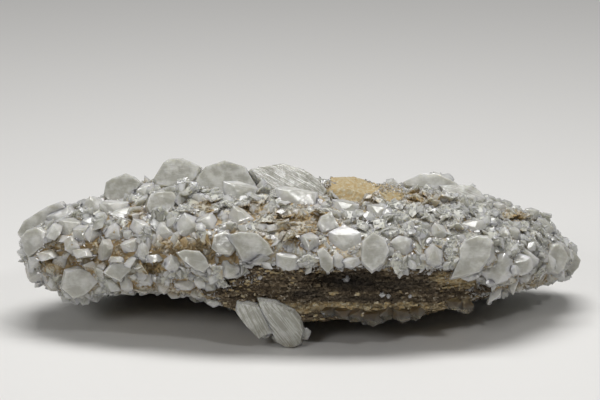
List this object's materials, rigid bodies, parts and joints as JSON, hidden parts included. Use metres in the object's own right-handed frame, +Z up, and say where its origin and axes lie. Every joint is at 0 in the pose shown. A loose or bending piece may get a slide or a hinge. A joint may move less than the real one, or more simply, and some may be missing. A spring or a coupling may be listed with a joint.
{
  "type": "rhombohedral calcite on host rock",
  "caption": "Natural plate of brown bedded host rock crusted with intergrown, flattened pale calcite rhombs, with a pair of blades hanging under its front edge.",
  "frame": {"origin": "centre of the specimen's footprint box, on the plane it rests on", "axes": "+X along the plate's length, -Y towards the front with the bare rock band, +Z up from the resting plane"},
  "size_m": [0.2106, 0.0893, 0.0617],
  "materials": {
    "host_rock": "rough, granular, brown with ochre and tan patches",
    "calcite": "glassy, translucent white to pale grey",
    "striated_calcite": "glassy, striated, translucent grey",
    "grey_calcite": "glassy, translucent grey-brown"
  },
  "bodies": {
    "root": {"host_rock": "host_rock", "calcite_crust": "calcite", "hanging_blades": "striated_calcite", "fringe_left": "grey_calcite", "fringe_right": "grey_calcite"}
  },
  "joints": []
}
